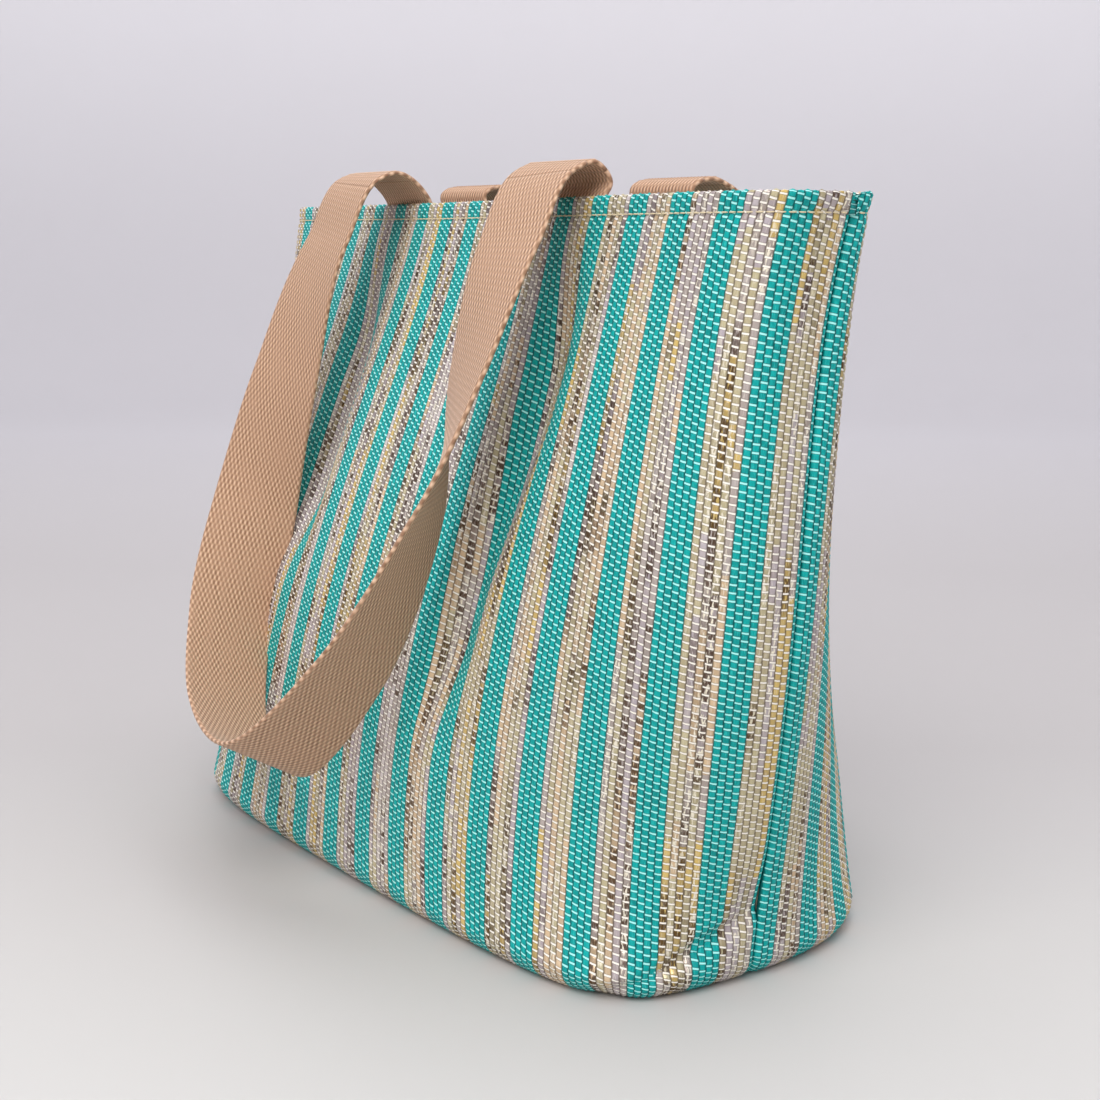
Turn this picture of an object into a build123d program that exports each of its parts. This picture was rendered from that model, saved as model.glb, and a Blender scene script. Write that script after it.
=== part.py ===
"""A soft tote bag with boxed corners, a lining and two webbing handles.

The bag stands on its base at the origin, +Z up, with its front panel towards -Y. The handles hang
outside the bag, one in front and one behind, and lift on three coupled hinge lines at each sewn end.
"""

import os
from math import cos, pi, radians, sin, tan

from build123d import *

# Driving dimensions, in millimetres.
bag_height = 264.0
base_half_width = 157.0
base_half_depth = 83.0
rim_half_width = 195.0
rim_half_depth = 19.0
base_edge_radius = 12.0

outer_cloth = 1.6
lining_cloth = 0.8
lining_drop = 1.5  # the lining ends this far below the rim

strap_width = 38.0
strap_thickness = 2.0
strap_clearance = 0.3  # between a sewn strap end and the cloth on each side of it
sewn_length = 28.0  # of each strap end, between outer cloth and lining
handle_spacing = 142.0  # between the middles of a handle's two ends
handle_offset = 6.0  # of the handles' middle from the bag's middle, towards +X

arch_foot = 5.0  # straight strap between the rim and the first hinge line
arch_rise_run = 12.0  # from the first hinge line to the second
arch_bend_run = 7.0  # from the second hinge line to the third
arch_rise_angle = 36.0  # of the first run above the level
arch_bend_angle = -17.0  # of the second run above the level
hinge_turn = 54.0  # between two neighbouring runs of the strap, for which each hinge gap is cut
hinge_clearance = 0.15

thread = 0.5  # proud of the cloth
stitch_band = 0.9  # height of the stitch row
stitch_drop = 5.0  # of the stitch row below the rim

outline_steps = 32  # points round one level outline

# How the body fills out between base and rim: the level's height as a share of the bag's height,
# how far each half size has gone from its base value to its rim value, and how square the level is.
body_shape = (
    # height, width share, depth share, squareness
    (0.25, 0.37, 0.13, 2.5),
    (0.50, 0.64, 0.45, 2.8),
    (0.75, 0.83, 0.77, 3.3),
    (1.00, 1.00, 1.00, 3.5),
)
base_squareness = 4.2

# The hanging loop of the front handle, from its left end to its right one. Each station is right of
# the middle of the handle, down from the rim, and has a gap between the strap's near edge and how
# far the bag's panel stands out at that height. The turn is the strap's own: its width lies along
# the bag at 0 and 180 degrees, and points out from it at 90 degrees, at the bottom of the loop.
loop_stations = (
    # right, gap, down, turn
    (-75, 24, 15, 0),
    (-90, 18, 70, 20),
    (-104, 2, 130, 50),
    (-95, 0, 175, 75),
    (-55, 10, 205, 85),
    (-5, 15, 210, 90),
    (35, 11, 170, 110),
    (60, 15, 110, 135),
    (70, 28, 60, 165),
    (74, 28, 15, 180),
)
loop_tilt = 30.0  # of the strap's width below the level, where it points out from the bag
loop_steps = 3  # cross-sections from one station to the next

os.makedirs("parts", exist_ok=True)


# The bag's body.
def body_levels(inset):
    """Height, half width, half depth and squareness of each level, with the surface moved in by inset."""
    levels = []
    inner_radius = base_edge_radius - inset
    for angle in (0, 45, 90):
        pull_in = inset + inner_radius * (1 - sin(radians(angle)))
        height = base_edge_radius - inner_radius * cos(radians(angle))
        levels.append((height, base_half_width - pull_in, base_half_depth - pull_in, base_squareness))
    for height_share, width_share, depth_share, squareness in body_shape:
        half_width = base_half_width + width_share * (rim_half_width - base_half_width)
        half_depth = base_half_depth + depth_share * (rim_half_depth - base_half_depth)
        levels.append((height_share * bag_height, half_width - inset, half_depth - inset, squareness))
    return levels


def outline_points(half_width, half_depth, squareness):
    """Points round a superellipse: an ellipse at squareness 2, a rectangle when it is large."""
    points = []
    for step in range(outline_steps):
        turn = 2 * pi * step / outline_steps
        across, along = cos(turn), sin(turn)
        x = half_width * abs(across) ** (2 / squareness) * (1 if across > 0 else -1)
        y = half_depth * abs(along) ** (2 / squareness) * (1 if along > 0 else -1)
        if step == outline_steps // 2 or step == 0:
            y = 0
        points.append((x, y))
    return points


def level_outlines(inset):
    """Every level outline of the body, moved in by inset, for a loft."""
    outlines = []
    for height, half_width, half_depth, squareness in body_levels(inset):
        with BuildSketch(Plane.XY.offset(height)) as outline:
            with BuildLine():
                Spline(*outline_points(half_width, half_depth, squareness), periodic=True)
            make_face()
        outlines.append(outline.sketch)
    return outlines


lining_inset = outer_cloth + strap_thickness + 2 * strap_clearance
tail_inset = outer_cloth + strap_clearance

with BuildPart() as outer_front_panel:
    loft(level_outlines(0), ruled=True)
    loft(level_outlines(outer_cloth), ruled=True, mode=Mode.SUBTRACT)
    split(bisect_by=Plane.XZ, keep=Keep.TOP)
outer_front_panel.part.label = "outer_front_panel"
export_step(outer_front_panel.part, "parts/outer_front_panel.step")

with BuildPart() as outer_back_panel:
    add(outer_front_panel.part.mirror(Plane.XZ))
outer_back_panel.part.label = "outer_back_panel"
export_step(outer_back_panel.part, "parts/outer_back_panel.step")

with BuildPart() as lining_front_panel:
    loft(level_outlines(lining_inset), ruled=True)
    loft(level_outlines(lining_inset + lining_cloth), ruled=True, mode=Mode.SUBTRACT)
    split(bisect_by=Plane.XZ, keep=Keep.TOP)
    split(bisect_by=Plane.XY.offset(bag_height - lining_drop), keep=Keep.BOTTOM)
lining_front_panel.part.label = "lining_front_panel"
export_step(lining_front_panel.part, "parts/lining_front_panel.step")

with BuildPart() as lining_back_panel:
    add(lining_front_panel.part.mirror(Plane.XZ))
lining_back_panel.part.label = "lining_back_panel"
export_step(lining_back_panel.part, "parts/lining_back_panel.step")

# The row of thread round the mouth, on the outside of the outer cloth.
stitch_height = bag_height - stitch_drop
with BuildPart() as rim_topstitch:
    loft(level_outlines(-thread), ruled=True)
    loft(level_outlines(0), ruled=True, mode=Mode.SUBTRACT)
    split(bisect_by=Plane.XY.offset(stitch_height - stitch_band / 2), keep=Keep.TOP)
    split(bisect_by=Plane.XY.offset(stitch_height + stitch_band / 2), keep=Keep.BOTTOM)
rim_topstitch.part.label = "rim_topstitch"
export_step(rim_topstitch.part, "parts/rim_topstitch.step")


# The handles. Each is one strap; its hinge lines run along X through the strap's thickness.
strap_y = -(rim_half_depth - tail_inset - strap_thickness / 2)
hinge_gap = strap_thickness / 2 * tan(radians(hinge_turn / 2)) + hinge_clearance
left_x = handle_offset - handle_spacing / 2
right_x = handle_offset + handle_spacing / 2


def run_end(start, length, angle):
    """The (y, z) end of a strap run that leaves start outwards, at an angle above the level."""
    return (start[0] - length * cos(radians(angle)), start[1] + length * sin(radians(angle)))


first_hinge = (strap_y, bag_height + arch_foot)
second_hinge = run_end(first_hinge, arch_rise_run, arch_rise_angle)
third_hinge = run_end(second_hinge, arch_bend_run, arch_bend_angle)


def strap_section(centre, direction, across):
    """The strap's cross-section at one place, square to its direction."""
    with BuildSketch(Plane(origin=centre, x_dir=across, z_dir=direction)) as section:
        Rectangle(strap_width, strap_thickness)
    return section.sketch


def straight_run(start, end):
    """Both legs of a straight strap run between two hinge lines, clear of each hinge line."""
    run = Vector(0, end[0] - start[0], end[1] - start[1])
    direction = run.normalized()
    for x in (left_x, right_x):
        foot = Vector(x, *start) + direction * hinge_gap
        leg = strap_section(foot, direction, (1, 0, 0))
        extrude(leg, amount=run.length - 2 * hinge_gap)


def panel_half_depth(height):
    """How far the panels stand out from the bag's middle at one height."""
    levels = body_levels(0)
    for (low, _, low_depth, _), (high, _, high_depth, _) in zip(levels, levels[1:]):
        if low <= height <= high:
            return low_depth + (high_depth - low_depth) * (height - low) / (high - low)


def loop_points():
    """The loop's stations as points in the bag's frame, with one on each side of the last hinge line."""
    middle = []
    for right, gap, down, turn in loop_stations:
        height = bag_height - down
        out = panel_half_depth(height) + gap + sin(radians(turn)) * strap_width / 2
        middle.append(Vector(handle_offset + right, -out, height))
    ends = []
    for x, neighbour in ((left_x, middle[0]), (right_x, middle[-1])):
        hinge = Vector(x, *third_hinge)
        level_run = Vector(0, neighbour.Y - hinge.Y, neighbour.Z - hinge.Z)
        ends.append(hinge + level_run.normalized() * hinge_gap)
    return [ends[0], *middle, ends[1]]


def loop_turns():
    """The strap's turn at each of the loop's points."""
    return [0, *[turn for *_, turn in loop_stations], 180]


def smooth_steps(values):
    """Values on a smooth curve through the given ones, with loop_steps steps from each to the next."""
    last = len(values) - 1
    steps = []
    for index in range(last):
        start, end = values[index], values[index + 1]
        leaving = (end - values[max(index - 1, 0)]) / 2
        arriving = (values[min(index + 2, last)] - start) / 2
        for step in range(loop_steps):
            t = step / loop_steps
            from_start = start * (1 + 2 * t) * (1 - t) ** 2 + leaving * t * (1 - t) ** 2
            steps.append(from_start + end * t**2 * (3 - 2 * t) - arriving * t**2 * (1 - t))
    return [*steps, values[last]]


def loop_sections():
    """The strap's cross-sections along the loop, each square to the line of its neighbours."""
    sections = []
    centres = smooth_steps(loop_points())
    last = len(centres) - 1
    for index, (centre, turn) in enumerate(zip(centres, smooth_steps(loop_turns()))):
        ahead = centres[min(index + 1, last)]
        behind = centres[max(index - 1, 0)]
        direction = (ahead - behind).normalized()
        if index in (0, last):
            direction = Vector(0, direction.Y, direction.Z).normalized()
        inwards = sin(radians(turn))
        tilt = radians(loop_tilt)
        width = Vector(cos(radians(turn)), inwards * cos(tilt), -inwards * sin(tilt))
        across = (width - direction * width.dot(direction)).normalized()
        sections.append(strap_section(centre, direction, across))
    return sections


def sewn_end(x):
    """A strap end between outer cloth and lining, with its foot that stands up out of the rim."""
    loft(level_outlines(tail_inset), ruled=True)
    loft(level_outlines(tail_inset + strap_thickness), ruled=True, mode=Mode.SUBTRACT)
    with Locations((x, -base_half_depth / 2, bag_height - sewn_length / 2)):
        Box(strap_width, base_half_depth, sewn_length, mode=Mode.INTERSECT)
    rim_place = Vector(x, strap_y, bag_height)
    foot = strap_section(rim_place, (0, 0, 1), (1, 0, 0))
    extrude(foot, amount=arch_foot - hinge_gap)


with BuildPart() as front_handle_left_end:
    sewn_end(left_x)
with BuildPart() as front_handle_right_end:
    sewn_end(right_x)
with BuildPart() as front_handle_rise:
    straight_run(first_hinge, second_hinge)
with BuildPart() as front_handle_bend:
    straight_run(second_hinge, third_hinge)
with BuildPart() as front_handle_loop:
    loft(loop_sections(), ruled=True)

handle_pieces = {
    "left_end": front_handle_left_end,
    "right_end": front_handle_right_end,
    "rise": front_handle_rise,
    "bend": front_handle_bend,
    "loop": front_handle_loop,
}
for piece_name, piece in handle_pieces.items():
    piece.part.label = f"front_handle_{piece_name}"
    export_step(piece.part, f"parts/front_handle_{piece_name}.step")
    with BuildPart() as back_piece:
        add(piece.part.mirror(Plane.XZ))
    back_piece.part.label = f"back_handle_{piece_name}"
    export_step(back_piece.part, f"parts/back_handle_{piece_name}.step")

print("hinge lines (y, z):", first_hinge, second_hinge, third_hinge)
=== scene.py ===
import math

import bpy
import numpy as np
from mathutils import Matrix, Vector


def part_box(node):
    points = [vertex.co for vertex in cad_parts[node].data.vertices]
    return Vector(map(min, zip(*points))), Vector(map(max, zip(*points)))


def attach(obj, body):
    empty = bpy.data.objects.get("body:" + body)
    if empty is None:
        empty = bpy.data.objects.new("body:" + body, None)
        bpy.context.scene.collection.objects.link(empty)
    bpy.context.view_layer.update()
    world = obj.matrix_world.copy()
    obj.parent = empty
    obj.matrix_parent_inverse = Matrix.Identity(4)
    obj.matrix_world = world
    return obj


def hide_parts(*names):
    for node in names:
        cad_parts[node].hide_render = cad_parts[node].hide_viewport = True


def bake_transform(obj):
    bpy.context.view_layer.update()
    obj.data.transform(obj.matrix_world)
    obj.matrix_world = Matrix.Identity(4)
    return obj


# A boxed tote bag of striped cloth with a plain lining and two webbing handles, in metres.
# Front is -Y and right is +X. A grid of cloth has its rows from the rim down and its columns
# from the right side seam to the left one.

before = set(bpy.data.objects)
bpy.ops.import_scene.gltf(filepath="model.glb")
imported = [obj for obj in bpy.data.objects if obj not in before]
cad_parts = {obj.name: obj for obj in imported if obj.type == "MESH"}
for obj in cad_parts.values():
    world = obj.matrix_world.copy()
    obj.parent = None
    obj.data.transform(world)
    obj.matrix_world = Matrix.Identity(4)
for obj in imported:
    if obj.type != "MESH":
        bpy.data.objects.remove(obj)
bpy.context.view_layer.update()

bag_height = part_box("outer_front_panel")[1].z
MM = 0.001

# ---------------------------------------------------------------- camera, floor and light

camera_place = Vector((0.5557, -0.3463, 0.2522))
camera_target = Vector((0.0148, 0.0102, 0.1256))
camera_lens = 53.0
camera_roll = 0.0063


def add_camera():
    camera = bpy.data.cameras.new("camera")
    camera.lens = camera_lens
    camera.sensor_width = 36.0
    camera.clip_start = 0.01
    holder = bpy.data.objects.new("camera", camera)
    bpy.context.scene.collection.objects.link(holder)
    look = (camera_target - camera_place).to_track_quat("-Z", "Y")
    holder.matrix_world = (
        Matrix.Translation(camera_place)
        @ look.to_matrix().to_4x4()
        @ Matrix.Rotation(camera_roll, 4, "Z")
    )
    bpy.context.scene.camera = holder


def add_area_light(name, place, target, size, power, colour):
    light = bpy.data.lights.new(name, "AREA")
    light.shape = "DISK"
    light.size = size
    light.energy = power
    light.color = colour
    holder = bpy.data.objects.new(name, light)
    bpy.context.scene.collection.objects.link(holder)
    direction = Vector(target) - Vector(place)
    holder.matrix_world = (
        Matrix.Translation(place) @ direction.to_track_quat("-Z", "Y").to_matrix().to_4x4()
    )


def linear(red, green, blue):
    """A colour given as on screen, 0 to 255, as linear RGBA."""
    channels = [value / 255 for value in (red, green, blue)]
    return (*[c / 12.92 if c <= 0.04045 else ((c + 0.055) / 1.055) ** 2.4 for c in channels], 1.0)


class Shader:
    """A material's nodes. Each call adds a node and gives its output socket."""

    def __init__(self, name):
        self.material = bpy.data.materials.new(name)
        self.material.use_nodes = True
        self.tree = self.material.node_tree
        self.surface = self.tree.nodes["Principled BSDF"]

    def add(self, kind, inputs, output=0, **settings):
        node = self.tree.nodes.new(kind)
        for name, value in settings.items():
            setattr(node, name, value)
        for name, value in inputs.items():
            self.feed(node.inputs[name], value)
        return node.outputs[output]

    def feed(self, socket, value):
        if isinstance(value, bpy.types.NodeSocket):
            self.tree.links.new(value, socket)
        else:
            socket.default_value = value

    def finish(self, **inputs):
        for name, value in inputs.items():
            self.feed(self.surface.inputs[name.replace("_", " ")], value)
        return self.material

    def math(self, operation, *values):
        return self.add("ShaderNodeMath", dict(enumerate(values)), operation=operation)

    def attribute(self, name):
        """The X and Y of a vector attribute."""
        vector = self.add("ShaderNodeAttribute", {}, output="Vector", attribute_name=name)
        split = self.tree.nodes.new("ShaderNodeSeparateXYZ")
        self.tree.links.new(vector, split.inputs[0])
        return split.outputs["X"], split.outputs["Y"]

    def vector(self, x, y, z=0.0):
        return self.add("ShaderNodeCombineXYZ", {"X": x, "Y": y, "Z": z})

    def noise(self, vector, scale, detail=2.0):
        return self.add(
            "ShaderNodeTexNoise", {"Vector": vector, "Scale": scale, "Detail": detail}, output="Fac"
        )

    def random(self, vector):
        return self.add("ShaderNodeTexWhiteNoise", {"Vector": vector}, output="Value")

    def smooth(self, value, low, high):
        """0 below low, 1 above high, and smooth between them. Low may be above high."""
        return self.add(
            "ShaderNodeMapRange",
            {"Value": value, "From Min": low, "From Max": high},
            interpolation_type="SMOOTHSTEP",
        )

    def mix(self, share, first, second, blend="MIX"):
        node = self.tree.nodes.new("ShaderNodeMix")
        node.data_type = "RGBA"
        node.blend_type = blend
        self.feed(node.inputs[0], share)
        self.feed(node.inputs[6], first)
        self.feed(node.inputs[7], second)
        return node.outputs[2]

    def ramp(self, value, stops, steps=False):
        node = self.tree.nodes.new("ShaderNodeValToRGB")
        ramp = node.color_ramp
        ramp.interpolation = "CONSTANT" if steps else "LINEAR"
        while len(ramp.elements) < len(stops):
            ramp.elements.new(0.5)
        for element, (place, colour) in zip(ramp.elements, stops):
            element.position = place
            element.color = colour if isinstance(colour, tuple) else (colour, colour, colour, 1.0)
        self.feed(node.inputs[0], value)
        return node.outputs[0]

    def bump(self, height, distance, strength=1.0):
        return self.add(
            "ShaderNodeBump", {"Height": height, "Distance": distance, "Strength": strength}
        )


def floor_material():
    """Pale, with painted shade in a band a little behind the object and painted light up the wall."""
    s = Shader("pale_floor")
    place = s.add("ShaderNodeTexCoord", {}, output="Object")
    split = s.tree.nodes.new("ShaderNodeSeparateXYZ")
    s.feed(split.inputs[0], place)
    back = s.math("MULTIPLY_ADD", split.outputs["X"], -0.34, 0.17)
    back = s.math("MULTIPLY_ADD", split.outputs["Y"], 0.225, back)
    # Painted shade: the floor darker in a band a little behind the object, then lighter again further back.
    colour = s.ramp(
        back,
        (
            (0.08, linear(206, 204, 200)),
            (0.22, linear(186, 182, 180)),
            (0.40, linear(185, 181, 180)),
            (0.73, linear(198, 195, 197)),
        ),
    )
    # Painted light: lighter up the wall.
    colour = s.mix(s.smooth(split.outputs["Z"], 0.1, 1.0), colour, linear(230, 228, 230))
    grain = s.noise(place, 6.0, 3.0)
    colour = s.mix(s.math("MULTIPLY", grain, 0.05), colour, linear(160, 158, 156))
    return s.finish(Base_Color=colour, Roughness=0.7)


def add_stage():
    """A pale floor that curves up into a wall on all sides, far enough off for any view."""
    flat_radius, curve_radius, wall_height = 1.7, 0.9, 2.6
    profile = [(0.0, 0.0), (0.6, 0.0), (1.2, 0.0)]
    for step in range(13):
        angle = math.pi / 2 * step / 12
        radius = flat_radius + curve_radius * math.sin(angle)
        profile.append((radius, curve_radius * (1 - math.cos(angle))))
    profile.append((flat_radius + curve_radius, wall_height))
    sides = 96
    points = []
    for radius, height in profile:
        for side in range(sides):
            turn = 2 * math.pi * side / sides
            points.append((radius * math.cos(turn), radius * math.sin(turn), height))
    faces = []
    for ring in range(len(profile) - 1):
        for side in range(sides):
            after = (side + 1) % sides
            a, b = ring * sides + side, ring * sides + after
            faces.append((a, b, b + sides, a + sides))
    mesh = bpy.data.meshes.new("floor")
    mesh.from_pydata(points, [], faces)
    mesh.polygons.foreach_set("use_smooth", [True] * len(mesh.polygons))
    floor = bpy.data.objects.new("floor", mesh)
    bpy.context.scene.collection.objects.link(floor)
    mesh.materials.append(floor_material())


def add_light():
    world = bpy.data.worlds.new("soft_room")
    world.use_nodes = True
    background = world.node_tree.nodes["Background"]
    background.inputs["Color"].default_value = linear(234, 238, 252)
    background.inputs["Strength"].default_value = 0.8
    bpy.context.scene.world = world
    add_area_light("key", (0.9, -1.1, 1.7), (0.0, 0.0, 0.1), 1.6, 29.0, (1.0, 0.97, 0.95))
    add_area_light("top", (-0.3, 0.4, 2.2), (0.0, 0.0, 0.1), 2.0, 16.0, (1.0, 0.99, 0.97))
    add_area_light("wall", (-0.6, 0.7, 2.3), (-2.3, 1.6, 1.4), 1.2, 12.0, (1.0, 0.98, 0.98))
    bpy.context.scene.view_settings.view_transform = "Standard"


# ---------------------------------------------------------------- the striped cloth's grid

yarn = 2.655 * MM
yarns_across = 159
first_yarn = -6  # the stripes' count at the right side seam, from where it rises into the front
weft_row = 1.31 * MM
cloth_thickness = 0.9 * MM

per_cell = 6  # columns or rows of the outer face for one of the inner face
columns = 2 * yarns_across + 1
corner_column = 60  # a boxed corner's cut, counted from a side seam

rim_radius = 1.0 * MM
base_radius = 9.0 * MM
hem_rows = 4
fold_rows = 4
edge_rows = 14
base_rows = 54
wall_rows = 194
rim_row = hem_rows + fold_rows
rim_rise = 1.2 * MM  # of the rim towards its right end
base_row = rim_row + wall_rows + edge_rows
rows = base_row + base_rows + 1

# The body's outline at five heights, from base to rim: half width, half depth of the front and of
# the back, squareness of the front's right and left end and of the back, the middle's x and y, and
# how much deeper the right end is than the left one, in front and behind.
body_levels = (
    (0.153, 0.081, 0.088, 7.0, 5.0, 3.5, 0.009, -0.002, -0.20, 0.00),
    (0.170, 0.072, 0.103, 2.5, 3.0, 1.6, 0.002, -0.003, -0.10, 0.25),
    (0.188, 0.053, 0.072, 3.2, 2.0, 1.8, -0.003, -0.008, -0.05, 0.10),
    (0.194, 0.033, 0.034, 5.5, 2.0, 3.5, -0.008, -0.004, 0.20, -0.20),
    (0.198, 0.022, 0.016, 7.0, 2.5, 4.0, -0.006, 0.004, 0.75, 0.00),
)


def level_outline(level, side, count):
    """Evenly spaced points from the right side seam to the left one, round the front or the back."""
    half_width, front, back, front_right, front_left, behind, middle_x, middle_y, *skews = level
    turn = np.linspace(0, np.pi, 1441)
    across, out = np.cos(turn), np.sin(turn)
    if side < 0:
        half_depth, skew = front, skews[0]
        power = 2 / np.where(across > 0, front_right, front_left)
    else:
        half_depth, skew = back, skews[1]
        power = 2 / behind
    x = half_width * np.sign(across) * np.abs(across) ** power
    y = side * half_depth * np.abs(out) ** power * (1 + skew * x / half_width)
    points = np.stack([x + middle_x, y + middle_y], axis=1)
    return evenly(points, count)


def evenly(points, count):
    along = np.concatenate([[0], np.cumsum(np.linalg.norm(np.diff(points, axis=0), axis=1))])
    wanted = np.linspace(0, along[-1], count)
    return np.stack([np.interp(wanted, along, channel) for channel in points.T], axis=1)


def outlines_at(heights, side, count):
    """The outline at each height, on a smooth curve through the five levels."""
    known = np.array([level_outline(level, side, count) for level in body_levels])
    at = np.linspace(0, 1, len(body_levels))
    share = np.asarray(heights) / bag_height
    result = np.zeros((len(share), count, 2))
    for i, own in enumerate(at):
        weight = np.ones(len(share))
        for j, other in enumerate(at):
            if i != j:
                weight = weight * (share - other) / (own - other)
        result += weight[:, None, None] * known[i]
    return result


def outward(outline, side):
    """The direction out of the bag, in plan, at each point of an outline."""
    along = np.gradient(outline, axis=-2)
    along /= np.linalg.norm(along, axis=-1, keepdims=True)
    return side * np.stack([along[..., 1], -along[..., 0]], axis=-1)


def body_rows(side, count, inset, heights, insets):
    """Rows of points at the given heights, each moved in by its own inset."""
    plan = outlines_at(np.maximum(heights, base_radius), side, count)
    plan = plan - outward(plan, side) * (inset + np.asarray(insets))[:, None, None]
    up = np.broadcast_to(np.asarray(heights)[:, None], plan.shape[:2])
    to_right = np.clip(plan[:, :, 0] / bag_height + 0.1, 0, 0.8)
    up = up + rim_rise / 0.8 * to_right * (up / bag_height) ** 3
    return np.concatenate([plan, up[:, :, None]], axis=2)


def edge_profile(radius, count):
    """Heights and insets down the rounded base edge, without its first row."""
    angle = np.linspace(0, np.pi / 2, count + 1)[1:]
    return radius * (1 - np.sin(angle)), radius * (1 - np.cos(angle))


def base_grid(last_row, first, last, count):
    """Rows across the base, from the front or back edge to the seam in the middle."""
    middle_y = body_levels[0][7]
    inner = last_row[first : last + 1]
    start_y, end_y = last_row[first][1], last_row[last][1]
    right_side, left_side = last_row[: first + 1][::-1], last_row[last:]
    place = (inner[:, 0] - inner[0, 0]) / (inner[-1, 0] - inner[0, 0])
    grid = np.repeat(last_row[None], count, axis=0)
    for index in range(count):
        share = (index + 1) / count
        right_y = start_y + (middle_y - start_y) * share
        left_y = end_y + (middle_y - end_y) * share
        flip = 1 if right_side[-1, 1] > right_side[0, 1] else -1
        right_x = np.interp(flip * right_y, flip * right_side[:, 1], right_side[:, 0])
        left_x = np.interp(flip * left_y, flip * left_side[:, 1], left_side[:, 0])
        grid[index, first : last + 1, 0] = right_x + (left_x - right_x) * place
        grid[index, first : last + 1, 1] = inner[:, 1] + (middle_y - inner[:, 1]) * share
    return grid


def normals_of(grid, side, flat_rows):
    down = np.gradient(grid, axis=0)
    across = np.gradient(grid, axis=1)
    normal = -side * np.cross(across, down)
    normal[-flat_rows:] = (0, 0, -1)
    return normal / np.maximum(np.linalg.norm(normal, axis=2, keepdims=True), 1e-12)


def smoothstep(value):
    value = np.clip(value, 0, 1)
    return value * value * (3 - 2 * value)


# Valleys and swellings of the front: each has points of its line, as distance from the right
# side seam and height, then its half width and how far it goes in.
front_folds = (
    (((0.130, 0.222), (0.133, 0.190), (0.145, 0.130), (0.150, 0.080)), 0.012, 0.008),
    (((0.296, 0.222), (0.292, 0.190), (0.291, 0.120)), 0.014, 0.007),
    (((0.004, 0.026), (0.030, 0.014), (0.058, 0.003)), 0.009, 0.0045),
)
back_folds = (
    (((0.140, 0.222), (0.135, 0.190), (0.140, 0.090)), 0.018, 0.006),
    (((0.290, 0.222), (0.300, 0.190), (0.290, 0.110)), 0.018, 0.006),
    (((0.362, 0.150), (0.352, 0.080), (0.340, 0.018)), 0.012, 0.004),
)


def folds_depth(across, height, folds):
    """How far the cloth goes in at each point."""
    depth = np.zeros(across.shape)
    for line, half_width, most in folds:
        top, bottom = line[0][1], line[-1][1]
        places = np.array([place for place, _ in line][::-1])
        heights = np.array([at for _, at in line][::-1])
        middle = np.interp(height, heights, places)
        fade_in = smoothstep((height - bottom + 0.02) / 0.05)
        fade_out = smoothstep((top + 0.03 - height) / 0.05)
        shape = np.exp(-(((across - middle) / half_width) ** 2))
        depth += most * shape * fade_in * fade_out
    return depth


def seam_distance(count_rows, count_columns):
    """Distance along the cloth to the nearest side, corner or base seam."""
    row, column = np.meshgrid(np.arange(count_rows), np.arange(count_columns), indexing="ij")
    across = np.minimum(column, count_columns - 1 - column) * yarn / 2
    down = (row - base_row) * weft_row
    beside = across - corner_column * yarn / 2
    along_edge = np.hypot(np.maximum(beside, 0), down)
    along_base = np.hypot(beside, np.maximum(-down, 0))
    middle = (count_rows - 1 - row) * weft_row
    return np.minimum.reduce([across, along_edge, along_base, middle])


def cloth_grid(side, folds):
    """The outer cloth's outer face, without its weave: points, normals and weave count."""
    wall_heights = np.linspace(bag_height - rim_radius, base_radius, wall_rows + 1)
    hem_heights = bag_height - rim_radius - weft_row * np.arange(hem_rows, 0, -1)
    turn = np.linspace(np.pi, 0, fold_rows + 1)[:-1]
    fold_heights = bag_height - rim_radius + rim_radius * np.sin(turn)
    fold_insets = rim_radius * (1 - np.cos(turn))
    edge_heights, edge_insets = edge_profile(base_radius, edge_rows)
    heights = np.concatenate([hem_heights, fold_heights, wall_heights, edge_heights])
    insets = np.concatenate(
        [np.full(hem_rows, 2 * rim_radius), fold_insets, np.zeros(wall_rows + 1), edge_insets]
    )
    upper = body_rows(side, columns, 0.0, heights, insets)
    lower = base_grid(upper[-1], corner_column, columns - 1 - corner_column, base_rows)
    grid = np.concatenate([upper, lower])

    across = np.broadcast_to(np.arange(columns) * yarn / 2, grid.shape[:2])
    normals = normals_of(grid, side, base_rows)
    on_wall = np.arange(rows)[:, None] <= base_row
    depth = folds_depth(across, grid[:, :, 2], folds) * on_wall
    hem = np.arange(rows) < rim_row
    depth[hem] = depth[rim_row]
    push = normals.copy()
    push[hem] = normals[rim_row]
    grid = grid - push * depth[:, :, None]

    seam = seam_distance(rows, columns)
    groove = 1.8 * MM * np.clip(1 - seam / (3 * MM), 0, 1) ** 2
    stitch_row = rim_row + round(5 * MM / weft_row)
    from_stitch = np.abs(np.arange(rows) - stitch_row)[:, None] * weft_row
    pinch = 0.5 * MM * np.exp(-((from_stitch / (1.4 * MM)) ** 2))
    normals = normals_of(grid, side, base_rows)
    return grid - normals * (groove + pinch)[:, :, None], normals, seam


def weave_relief(seam, count, row):
    """How far each point stands out: yarns are round, and each goes over and under the weft."""
    on_yarn = count % 1 == 0.5
    over = (row + np.floor(count)) % 2 == 1
    relief = np.where(on_yarn, np.where(over, 0.42 * MM, 0.12 * MM), -0.08 * MM)
    return relief * smoothstep(seam / (2 * MM))


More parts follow.
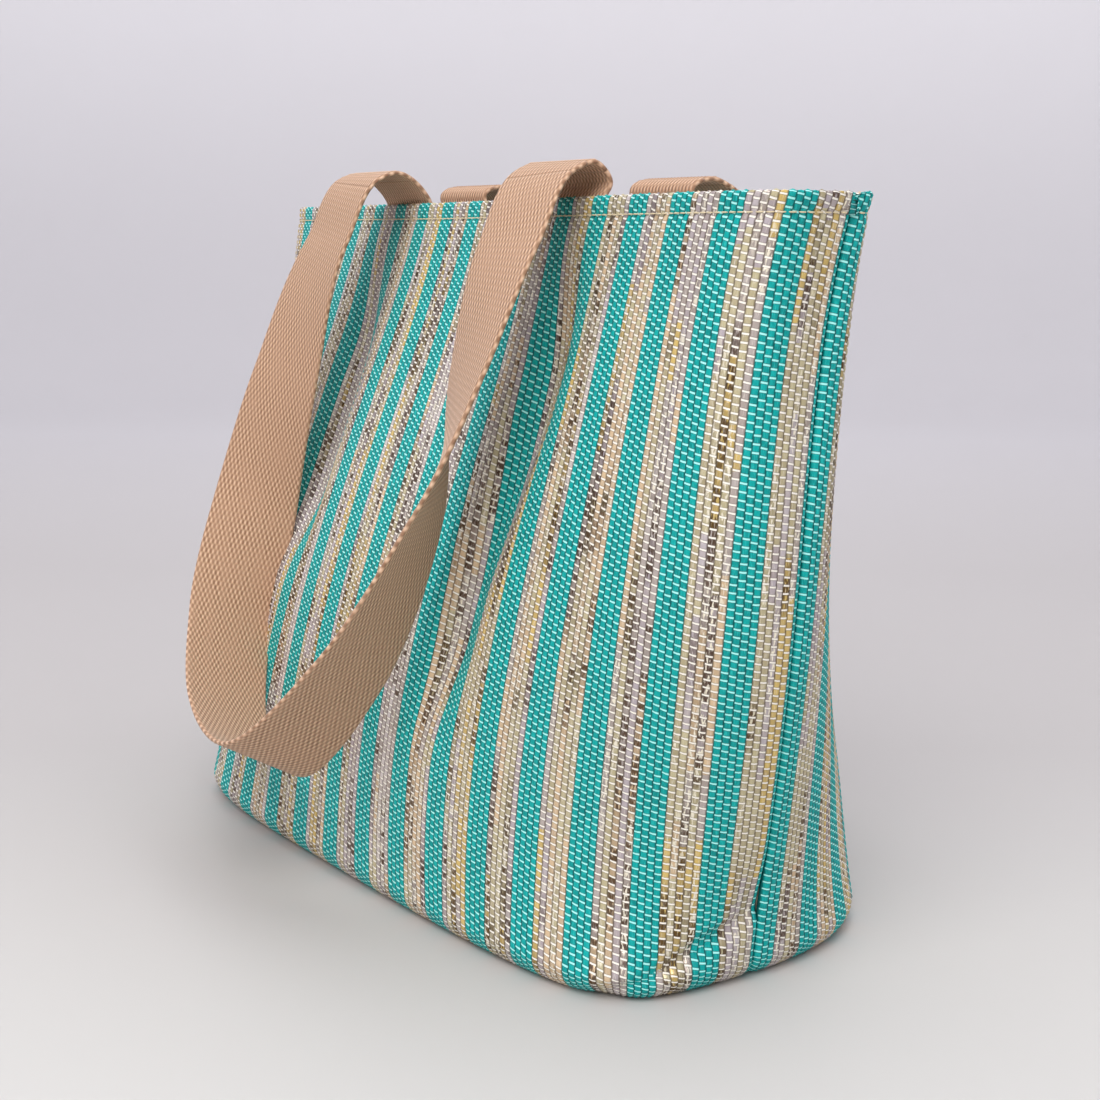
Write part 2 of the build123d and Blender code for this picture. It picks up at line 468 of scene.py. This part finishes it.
def closed_cloth(name, outer, inner, keep, cell, flip):
    """A closed sheet: a fine outer face, a coarse inner face, and the edge between them."""
    total_rows, total_columns = outer.shape[:2]
    outer_index = np.arange(total_rows * total_columns).reshape(total_rows, total_columns)
    inner_index = outer_index + outer_index.size
    faces = []
    cells = [(r, c) for r in range(keep.shape[0]) for c in range(keep.shape[1]) if keep[r, c]]
    for r, c in cells:
        r0, r1, c0, c1 = r * cell, (r + 1) * cell, c * cell, (c + 1) * cell
        block = outer_index[r0 : r1 + 1, c0 : c1 + 1]
        quads = np.stack([block[:-1, :-1], block[:-1, 1:], block[1:, 1:], block[1:, :-1]], -1)
        faces.extend(quads.reshape(-1, 4).tolist())
        corners = [inner_index[r0, c0], inner_index[r1, c0], inner_index[r1, c1], inner_index[r0, c1]]
        faces.append([int(v) for v in corners])
        borders = (
            (r - 1, c, block[0, ::-1], (r0, c0), (r0, c1)),
            (r + 1, c, block[-1], (r1, c1), (r1, c0)),
            (r, c - 1, block[:, 0], (r1, c0), (r0, c0)),
            (r, c + 1, block[::-1, -1], (r0, c1), (r1, c1)),
        )
        for next_r, next_c, line, near, far in borders:
            inside = 0 <= next_r < keep.shape[0] and 0 <= next_c < keep.shape[1]
            if not (inside and keep[next_r, next_c]):
                faces.append([int(v) for v in line] + [int(inner_index[near]), int(inner_index[far])])
    if flip:
        faces = [face[::-1] for face in faces]
    points = np.concatenate([outer.reshape(-1, 3), inner.reshape(-1, 3)])
    return compact_mesh(name, points, faces)


def compact_mesh(name, points, faces):
    """A mesh of only the points that its faces use. Gives the mesh and the kept points' numbers."""
    used = np.unique(np.concatenate([np.array(face) for face in faces]))
    renumber = np.full(len(points), -1)
    renumber[used] = np.arange(len(used))
    mesh = bpy.data.meshes.new(name)
    mesh.vertices.add(len(used))
    mesh.vertices.foreach_set("co", points[used].astype(np.float32).ravel())
    sizes = np.array([len(face) for face in faces])
    corners = renumber[np.concatenate([np.array(face) for face in faces])]
    mesh.loops.add(len(corners))
    mesh.loops.foreach_set("vertex_index", corners.astype(np.int32))
    mesh.polygons.add(len(faces))
    starts = np.concatenate([[0], np.cumsum(sizes)[:-1]])
    mesh.polygons.foreach_set("loop_start", starts.astype(np.int32))
    mesh.update(calc_edges=True)
    mesh.validate()
    mesh.polygons.foreach_set("use_smooth", np.ones(len(faces), bool))
    return mesh, used


def add_vector_attribute(mesh, name, values):
    attribute = mesh.attributes.new(name, "FLOAT_VECTOR", "POINT")
    attribute.data.foreach_set("vector", values.astype(np.float32).ravel())


def add_object(name, mesh, material):
    mesh.materials.append(material)
    piece = bpy.data.objects.new(name, mesh)
    bpy.context.scene.collection.objects.link(piece)
    return piece


def cell_mask(row_cells, column_cells, lower_cells, corner_cells):
    """Which coarse cells the cut cloth has: all but the two squares at its lower corners."""
    keep = np.ones((row_cells, column_cells), bool)
    keep[row_cells - lower_cells :, :corner_cells] = False
    keep[row_cells - lower_cells :, column_cells - corner_cells :] = False
    return keep


def outer_panel(name, side, folds, material):
    smooth_grid, normals, seam = cloth_grid(side, folds)
    count = np.broadcast_to(first_yarn - side * np.arange(columns) / 2, (rows, columns))
    row = np.broadcast_to(np.arange(rows)[:, None] - rim_row, (rows, columns))
    outer = smooth_grid + normals * weave_relief(seam, count, row)[:, :, None]
    outer[:, :, 2] = np.maximum(outer[:, :, 2], 0)
    inner = smooth_grid - normals * cloth_thickness
    keep = cell_mask(
        (rows - 1) // per_cell,
        (columns - 1) // per_cell,
        base_rows // per_cell,
        corner_column // per_cell,
    )
    mesh, used = closed_cloth(name, outer, inner, keep, per_cell, flip=side > 0)
    weave = np.stack([count, row, np.zeros((rows, columns))], axis=2)
    weave = np.concatenate([weave.reshape(-1, 3)] * 2)
    add_vector_attribute(mesh, "weave", weave[used])
    return add_object(name, mesh, material), smooth_grid, normals


# ---------------------------------------------------------------- materials of the object


def striped_cloth():
    """Warp yarns in a repeat of nine, four turquoise and five mixed, over thin pale weft."""
    s = Shader("striped_cloth")
    yarn_place, weft_place = s.attribute("weave")
    number = s.math("FLOOR", yarn_place)
    across = s.math("FRACT", yarn_place)
    in_repeat = s.math("FLOORED_MODULO", number, 9.0)
    turquoise = s.math("LESS_THAN", in_repeat, 3.5)

    edge = s.math("ABSOLUTE", s.math("MULTIPLY_ADD", across, 2.0, -1.0))
    wander = s.noise(s.vector(s.math("MULTIPLY", number, 3.7), s.math("MULTIPLY", weft_place, 0.06)), 1.0)
    slant = s.math("MULTIPLY", s.math("SUBTRACT", wander, 0.15), s.math("SUBTRACT", across, 0.5))
    shifted = s.math("ADD", s.math("ADD", weft_place, number), slant)
    half = s.math("MULTIPLY", shifted, 0.5)
    over_number = s.math("FLOOR", half)
    phase = s.math("FRACT", half)
    from_weft = s.math("SUBTRACT", 1.0, s.math("ABSOLUTE", s.math("MULTIPLY_ADD", phase, 2.0, -1.0)))
    weft_line = s.math(
        "MULTIPLY", s.smooth(from_weft, 0.30, 0.17), s.smooth(edge, 0.98, 0.80)
    )
    under_weft = s.smooth(from_weft, 0.45, 0.2)
    side_shade = s.smooth(edge, 0.55, 1.0)

    strands = s.noise(
        s.vector(s.math("MULTIPLY", yarn_place, 9.0), s.math("MULTIPLY", weft_place, 0.5)), 1.0, 3.0
    )
    tone = s.random(s.vector(number, over_number, 1.0))

    body = s.mix(tone, linear(0, 142, 139), linear(0, 172, 168))
    # Lighter streaks along the strands: the filaments' grain, with painted sheen on them.
    body = s.mix(s.smooth(strands, 0.45, 0.75), body, linear(44, 196, 190))
    shaded = s.math("MULTIPLY", s.math("MAXIMUM", under_weft, side_shade), 0.85)
    body = s.mix(shaded, body, linear(0, 70, 70))

    run = s.noise(s.vector(s.math("MULTIPLY", number, 7.3), s.math("MULTIPLY", weft_place, 0.011)), 1.0)
    fleck_place = s.vector(s.math("MULTIPLY", yarn_place, 3.1), s.math("MULTIPLY", weft_place, 0.35))
    fleck = s.noise(fleck_place, 1.0, 3.0)
    yarn_pick = s.math("MULTIPLY", s.random(s.vector(number, 4.0)), 0.55)
    pick = s.math("ADD", yarn_pick, s.math("MULTIPLY", run, 0.55))
    mixed = s.ramp(
        pick,
        (
            (0.0, linear(214, 205, 203)),
            (0.30, linear(186, 176, 182)),
            (0.40, linear(198, 188, 150)),
            (0.49, linear(219, 190, 112)),
            (0.56, linear(186, 176, 172)),
            (0.64, linear(222, 194, 156)),
            (0.71, linear(206, 196, 158)),
            (0.79, linear(197, 188, 192)),
            (0.90, linear(232, 226, 220)),
        ),
        steps=True,
    )
    shine_place = s.vector(s.math("MULTIPLY", number, 2.9), s.math("MULTIPLY", weft_place, 0.02))
    shine_run = s.smooth(s.noise(shine_place, 1.0), 0.50, 0.58)
    dark_place = s.vector(s.math("MULTIPLY", number, 3.9), s.math("MULTIPLY", weft_place, 0.018))
    dark_run = s.smooth(s.noise(dark_place, 1.0, 1.0), 0.50, 0.57)
    dark_fleck = s.math("MULTIPLY", dark_run, s.smooth(fleck, 0.62, 0.52))
    # Painted dark reflections: dark brown patches where the metallic yarn's foil would reflect darkness,
    # within its runs.
    painted_dark_reflection = s.math("MULTIPLY", s.smooth(tone, 0.66, 0.50), dark_fleck)
    # Painted glints: bright pale flecks on the shiny runs of the metallic yarn.
    painted_glint = s.math("MULTIPLY", s.smooth(fleck, 0.50, 0.60), shine_run)
    mixed = s.mix(s.math("MULTIPLY", tone, 0.4), mixed, linear(142, 122, 98))
    mixed = s.mix(s.math("MULTIPLY", painted_dark_reflection, 0.9), mixed, linear(78, 52, 28))
    mixed = s.mix(painted_glint, mixed, linear(252, 244, 222))
    # Pale streaks along the strands: the filaments' grain, with painted sheen on them.
    mixed = s.mix(s.math("MULTIPLY", s.smooth(strands, 0.5, 0.75), 0.5), mixed, linear(244, 236, 224))
    shaded = s.math("MULTIPLY", s.math("MAXIMUM", under_weft, side_shade), 0.75)
    mixed = s.mix(shaded, mixed, linear(84, 70, 54))
    glitter = s.math("MAXIMUM", s.math("MULTIPLY", shine_run, 0.8), dark_run)

    colour = s.mix(turquoise, mixed, body)
    weft_colour = s.mix(turquoise, linear(255, 250, 238), linear(176, 255, 248))
    colour = s.mix(weft_line, colour, weft_colour)

    round_yarn = s.math("SUBTRACT", 1.0, s.math("POWER", edge, 2.5))
    dip = s.smooth(from_weft, 0.0, 0.55)
    height = s.math("MULTIPLY", round_yarn, s.math("MULTIPLY_ADD", dip, 0.6, 0.4))
    height = s.math("ADD", height, s.math("MULTIPLY", weft_line, 0.35))
    height = s.math("ADD", height, s.math("MULTIPLY", strands, 0.25))
    not_turquoise = s.math("SUBTRACT", 1.0, turquoise)
    metal = s.math("MULTIPLY", s.math("MULTIPLY", glitter, not_turquoise), s.smooth(weft_line, 0.6, 0.2))
    rough = s.math("MULTIPLY_ADD", metal, -0.22, 0.52)
    return s.finish(
        Base_Color=colour,
        Metallic=s.math("MULTIPLY", metal, 0.6),
        Specular_IOR_Level=0.2,
        Roughness=rough,
        Normal=s.bump(height, 0.4 * MM, 0.8),
    )


def lining_cotton():
    """Plain fine cotton."""
    s = Shader("lining_cotton")
    place = s.add("ShaderNodeTexCoord", {}, output="Object")
    threads = s.noise(place, 2600.0, 1.0)
    cloud = s.noise(place, 40.0, 3.0)
    colour = s.mix(cloud, linear(226, 200, 176), linear(238, 214, 192))
    colour = s.mix(s.math("MULTIPLY", threads, 0.4), colour, linear(196, 164, 138))
    return s.finish(
        Base_Color=colour, Roughness=0.85, Normal=s.bump(threads, 0.1 * MM, 0.6), Sheen_Weight=0.2
    )


def cotton_webbing():
    """Heavy webbing: short grains in staggered columns, with painted shade between the grains and painted
    highlights on their tops.
    """
    s = Shader("cotton_webbing")
    column, row = s.attribute("grain")
    wave = s.math(
        "MULTIPLY",
        s.math("COSINE", s.math("MULTIPLY", column, math.pi)),
        s.math("COSINE", s.math("MULTIPLY", row, math.pi)),
    )
    fine = s.noise(s.vector(s.math("MULTIPLY", column, 3.0), s.math("MULTIPLY", row, 1.2)), 1.0, 3.0)
    cloud = s.noise(s.vector(s.math("MULTIPLY", column, 0.25), s.math("MULTIPLY", row, 0.12)), 1.0, 3.0)
    grain = s.smooth(wave, -0.75, 0.75)
    # Painted shade: darker between the grains, lighter on their tops.
    colour = s.mix(grain, linear(140, 102, 74), linear(228, 188, 154))
    # Painted highlight on the tops of the grains.
    colour = s.mix(s.smooth(wave, 0.5, 1.0), colour, linear(246, 210, 178))
    colour = s.mix(s.math("MULTIPLY", s.smooth(cloud, 0.35, 0.7), 0.5), colour, linear(196, 156, 126))
    colour = s.mix(s.math("MULTIPLY", fine, 0.35), colour, linear(176, 136, 106))
    height = s.math("ADD", grain, s.math("MULTIPLY", fine, 0.3))
    return s.finish(Base_Color=colour, Roughness=0.8, Normal=s.bump(height, 0.3 * MM, 0.8), Sheen_Weight=0.15)


def sewing_thread():
    s = Shader("sewing_thread")
    ply = s.noise(s.add("ShaderNodeTexCoord", {}, output="Object"), 900.0, 2.0)
    colour = s.mix(ply, linear(208, 190, 150), linear(238, 224, 192))
    return s.finish(Base_Color=colour, Roughness=0.6, Normal=s.bump(ply, 0.1 * MM, 0.5))


# ---------------------------------------------------------------- lining


def lining_panel(name, side, folds, material):
    """The lining hangs inside the outer cloth and lies on the base."""
    drop, inset, thickness, lift = 2.0 * MM, 4.0 * MM, 0.7 * MM, 1.6 * MM
    count, corner, cell = 161, 32, 1
    radius = base_radius
    heights = np.linspace(bag_height - drop, radius + lift, 90)
    edge_heights, edge_insets = edge_profile(radius - inset, 8)
    heights = np.concatenate([heights, edge_heights + lift + inset])
    insets = np.concatenate([np.zeros(90), edge_insets])
    upper = body_rows(side, count, inset, heights, insets)
    lower = base_grid(upper[-1], corner, count - 1 - corner, 24)
    grid = np.concatenate([upper, lower])
    width = (columns - 1) * yarn / 2
    across = np.broadcast_to(np.linspace(0, width, count), grid.shape[:2])
    on_wall = np.arange(len(grid))[:, None] < len(upper)
    depth = folds_depth(across, grid[:, :, 2], folds) * on_wall
    wrinkle = 0.9 * MM * np.sin(across / 0.021 + grid[:, :, 2] / 0.05) ** 2
    wrinkle = wrinkle * smoothstep((bag_height - grid[:, :, 2]) / 0.05) * on_wall
    normals = normals_of(grid, side, 24)
    grid = grid - normals * (depth + wrinkle)[:, :, None]
    normals = normals_of(grid, side, 24)
    keep = cell_mask(len(grid) - 1, count - 1, 24, corner)
    mesh, _ = closed_cloth(name, grid, grid - normals * thickness, keep, cell, flip=side > 0)
    return add_object(name, mesh, material)


# ---------------------------------------------------------------- handles

strap_width = 38.0 * MM
strap_thickness = 1.8 * MM
grain_width = 0.98 * MM
grain_length = 2.2 * MM
left_x, right_x = -0.065, 0.077
handle_middle = (left_x + right_x) / 2
tail_heights = (0.242, 0.249, 0.256, 0.264)

# The strap over each hinge line, as distance from the middle of the bag and height. The back
# handle's arches lie flatter.
hinges = ((0.0161, 0.2690), (0.0258, 0.2761), (0.0325, 0.2740))
back_flatter = (1.0 * MM, 4.5 * MM, 4.5 * MM)

# The hanging loop's stations, as in the design: right of the handles' middle, the gap between the
# strap's near edge and the design's panel, down from the rim, and the turn of the strap's width,
# which lies along the bag at 0 and 180 degrees and points out from it at 90 degrees.
loop_stations = (
    (-75, 24, 15, 0),
    (-90, 18, 70, 20),
    (-104, 2, 130, 50),
    (-95, 0, 175, 75),
    (-55, 10, 205, 85),
    (-5, 15, 210, 90),
    (35, 11, 170, 110),
    (60, 15, 110, 135),
    (70, 28, 60, 165),
    (74, 28, 15, 180),
)
loop_tilt = np.radians(30)  # of the width below the level, where it points out from the bag

# How far the design's panels stand out from the middle of the bag, by height.
panel_heights = np.array((12.0, 66.0, 132.0, 198.0, 264.0)) * MM
panel_depths = np.array((83.0, 74.7, 54.2, 33.7, 19.0)) * MM

def behind_cloth(side, x, height):
    """How far out the middle of a strap lies behind the outer cloth."""
    line = outlines_at([height], side, columns)[0][::-1]
    across = np.interp(x, line[:, 0], np.arange(columns)[::-1] * yarn / 2)
    folds = front_folds if side < 0 else back_folds
    depth = folds_depth(np.array([across]), np.array([height]), folds)[0]
    out = side * np.interp(x, line[:, 0], line[:, 1])
    return out - depth - cloth_thickness - strap_thickness / 2 - 1.2 * MM


def strap_end(side, x):
    """Points of one end of a strap, from its tail over the hinge lines."""
    points = [(x, behind_cloth(side, x, height), height) for height in tail_heights]
    at_rim = points[-1][1]
    drops = (0, 0, 0) if side < 0 else back_flatter
    for index, ((out, height), drop) in enumerate(zip(hinges, drops)):
        if index == 0:
            out = (out + at_rim) / 2
        points.append((x, out, height - drop))
    return [(x, side * out, height) for x, out, height in points]


def strap_route(side):
    """Points and width directions of a whole strap, from its left tail to its right one."""
    points = strap_end(side, left_x)
    ending = strap_end(side, right_x)[::-1]
    widths = [(1.0, 0.0, 0.0)] * len(points)
    for right, gap, down, turn in loop_stations:
        height = bag_height - down * MM
        inwards = np.sin(np.radians(turn))
        out = np.interp(height, panel_heights, panel_depths) + gap * MM + inwards * strap_width / 2
        points.append((handle_middle + right * MM, side * out, height))
        width_in = -side * inwards * np.cos(loop_tilt)
        widths.append((np.cos(np.radians(turn)), width_in, -inwards * np.sin(loop_tilt)))
    points += ending
    widths += [(-1.0, 0.0, 0.0)] * len(ending)
    return np.array(points), np.array(widths)


def smooth_curve(knots, values, at):
    """A cubic through the values, whose slope at a knot is that of the knots beside it."""
    slopes = np.gradient(values, knots, axis=0)
    index = np.clip(np.searchsorted(knots, at, side="right") - 1, 0, len(knots) - 2)
    span = (knots[index + 1] - knots[index])[:, None]
    t = (at - knots[index])[:, None] / span
    start, end = values[index], values[index + 1]
    return (
        start * (1 + 2 * t) * (1 - t) ** 2
        + end * t * t * (3 - 2 * t)
        + slopes[index] * span * t * (1 - t) ** 2
        - slopes[index + 1] * span * t * t * (1 - t)
    )


def strap_frames(side):
    """Centres, directions, widths and normals along a strap, and the hinges' places along it."""
    points, widths = strap_route(side)
    knots = np.concatenate([[0], np.cumsum(np.linalg.norm(np.diff(points, axis=0), axis=1))])
    fine = np.linspace(0, knots[-1], 4000)
    line = smooth_curve(knots, points, fine)
    length = np.concatenate([[0], np.cumsum(np.linalg.norm(np.diff(line, axis=0), axis=1))])
    count = int(round(length[-1] / (grain_length / 2))) + 1
    at = np.interp(np.linspace(0, length[-1], count), length, fine)
    centre = smooth_curve(knots, points, at)
    width = smooth_curve(knots, widths, at)
    direction = np.gradient(centre, axis=0)
    direction /= np.linalg.norm(direction, axis=1, keepdims=True)
    width -= direction * (width * direction).sum(1, keepdims=True)
    width /= np.linalg.norm(width, axis=1, keepdims=True)
    normal = np.cross(direction, width)
    hinge_at = np.interp(knots, fine, length)
    tail = len(tail_heights)
    left = hinge_at[tail : tail + len(hinges)]
    right = hinge_at[-tail - len(hinges) : -tail][::-1]
    return centre, width, normal, length[-1], left, right


def strap_mesh(name, side, frames, first, last):
    """One length of a strap as a closed mesh with its grains, between two rows."""
    centre, width, normal = (values[first : last + 1] for values in frames[:3])
    count = int(round(strap_width / (grain_width / 2)))
    column = np.arange(count + 1)
    place = (column / count - 0.5) * strap_width
    row = np.arange(first, last + 1)[:, None]
    edge = np.minimum(column, count - column) * grain_width / 2
    rounding = np.sqrt(np.clip(1 - (1 - np.clip(edge / (0.9 * MM), 0, 1)) ** 2, 0.04, 1))
    wave = np.cos(math.pi * column / 2) * np.cos(math.pi * row / 2)
    rings = []
    for face in (1, -1):
        lift = strap_thickness / 2 * rounding + 0.14 * MM * wave * face * rounding
        rings.append(
            centre[:, None] + width[:, None] * place[None, :, None]
            + face * normal[:, None] * lift[:, :, None]
        )
    front, back = rings
    grid = np.concatenate([front, back[:, ::-1]], axis=1)
    lengths, around = grid.shape[:2]
    index = np.arange(lengths * around).reshape(lengths, around)
    after = np.roll(index, -1, axis=1)
    quads = np.stack([index[:-1], after[:-1], after[1:], index[1:]], axis=-1).reshape(-1, 4)
    faces = quads.tolist() + [index[0][::-1].tolist(), index[-1].tolist()]
    mesh, used = compact_mesh(name, grid.reshape(-1, 3), faces)
    counts = np.concatenate([column, column[::-1]]) / 2
    counts = np.broadcast_to(counts, (lengths, around))
    rows_along = np.broadcast_to(row / 2, (lengths, around))
    grain = np.stack([counts, rows_along, np.zeros((lengths, around))], axis=2)
    add_vector_attribute(mesh, "grain", grain.reshape(-1, 3)[used])
    return mesh


def add_handle(which, side, material):
    """One strap as seven pieces: a loop that swings, and three short lengths over each end's hinges."""
    frames = strap_frames(side)
    centre, total, left, right = frames[0], frames[3], frames[4], frames[5]
    step = total / (len(centre) - 1)
    last = len(centre) - 1

    def row_at(length):
        return int(round(length / step))

    pieces = []
    for end, hinge_at, sign in (("left", left, 1), ("right", right, -1)):
        marks = [
            hinge_at[0] - sign * 4 * MM,
            (hinge_at[0] + hinge_at[1]) / 2,
            (hinge_at[1] + hinge_at[2]) / 2,
            hinge_at[2] + sign * 5 * MM,
        ]
        cuts = [0 if sign > 0 else last] + [row_at(mark) for mark in marks[1:]]
        for index in range(3):
            low, high = sorted((cuts[index], cuts[index + 1]))
            name = f"{which}_strap_{end}_{('root', 'rise', 'bend')[index]}"
            piece = add_object(name, strap_mesh(name, side, frames, low, high), material)
            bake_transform(piece)
            pieces.append(piece)
        if sign > 0:
            loop_first = cuts[-1]
        else:
            loop_last = cuts[-1]
    name = f"{which}_strap_loop"
    loop = add_object(name, strap_mesh(name, side, frames, loop_first, loop_last), material)
    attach(loop, f"{which}_handle")
    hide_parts(f"{which}_handle_loop")
    for piece in pieces:
        end = "left" if "left" in piece.name else "right"
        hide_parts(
            f"{which}_handle_{end}_end",
            f"{which}_handle_rise",
            f"{which}_handle_bend",
        )
    print(which, "strap length", total)
    return loop


# ---------------------------------------------------------------- rim stitching


def stitch_capsule(start, end, radius, out):
    """Points and faces of one short stitch, pinched into the cloth at both ends."""
    rings = []
    along = end - start
    side_way = np.cross(along / np.linalg.norm(along), out)
    shares = (0.0, 0.15, 0.5, 0.85, 1.0)
    sizes = (0.35, 0.9, 1.0, 0.9, 0.35)
    sinks = (-1.2, 0.1, 0.35, 0.1, -1.2)
    for share, size, sink in zip(shares, sizes, sinks):
        middle = start + along * share + out * radius * sink
        for turn in np.linspace(0, 2 * np.pi, 7)[:-1]:
            rings.append(middle + radius * size * (np.cos(turn) * out + np.sin(turn) * side_way))
    faces = []
    for ring in range(len(shares) - 1):
        for turn in range(6):
            a, b = ring * 6 + turn, ring * 6 + (turn + 1) % 6
            faces.append([a, a + 6, b + 6, b])
    faces.append([5, 4, 3, 2, 1, 0][::-1])
    last = 6 * (len(shares) - 1)
    faces.append([last + turn for turn in range(6)][::-1])
    return np.array(rings), faces


def add_rim_stitches(panels, material):
    stitch_length, gap, radius = 2.7 * MM, 0.6 * MM, 0.28 * MM
    points, faces = [], []
    for grid, normals in panels:
        row = rim_row + round(5 * MM / weft_row)
        line, out = grid[row], normals[row]
        along = np.concatenate([[0], np.cumsum(np.linalg.norm(np.diff(line, axis=0), axis=1))])
        starts = np.arange(3 * MM, along[-1] - 5 * MM, stitch_length + gap)
        for start in starts:
            ends = [
                np.array([np.interp(at, along, channel) for channel in line.T])
                for at in (start, start + stitch_length)
            ]
            way = np.array([np.interp(start, along, channel) for channel in out.T])
            way /= np.linalg.norm(way)
            lifted = [end + way * 0.45 * MM for end in ends]
            ring_points, ring_faces = stitch_capsule(*lifted, radius, way)
            base = sum(len(p) for p in points)
            points.append(ring_points)
            faces.extend([[v + base for v in face] for face in ring_faces])
    mesh, _ = compact_mesh("rim_stitches", np.concatenate(points), faces)
    piece = add_object("rim_stitches", mesh, material)
    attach(piece, "bag")
    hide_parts("rim_topstitch")


# ---------------------------------------------------------------- the bag, put together

add_camera()
add_stage()
add_light()

cloth = striped_cloth()
cotton = lining_cotton()
webbing = cotton_webbing()
thread = sewing_thread()

rim_lines = []
for which, side, folds in (("front", -1, front_folds), ("back", 1, back_folds)):
    panel, grid, normals = outer_panel(f"outer_{which}_cloth", side, folds, cloth)
    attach(panel, "bag")
    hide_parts(f"outer_{which}_panel")
    rim_lines.append((grid, normals))
    lining = lining_panel(f"lining_{which}", side, folds, cotton)
    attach(lining, "bag")
    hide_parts(f"lining_{which}_panel")
    add_handle(which, side, webbing)
add_rim_stitches(rim_lines, thread)
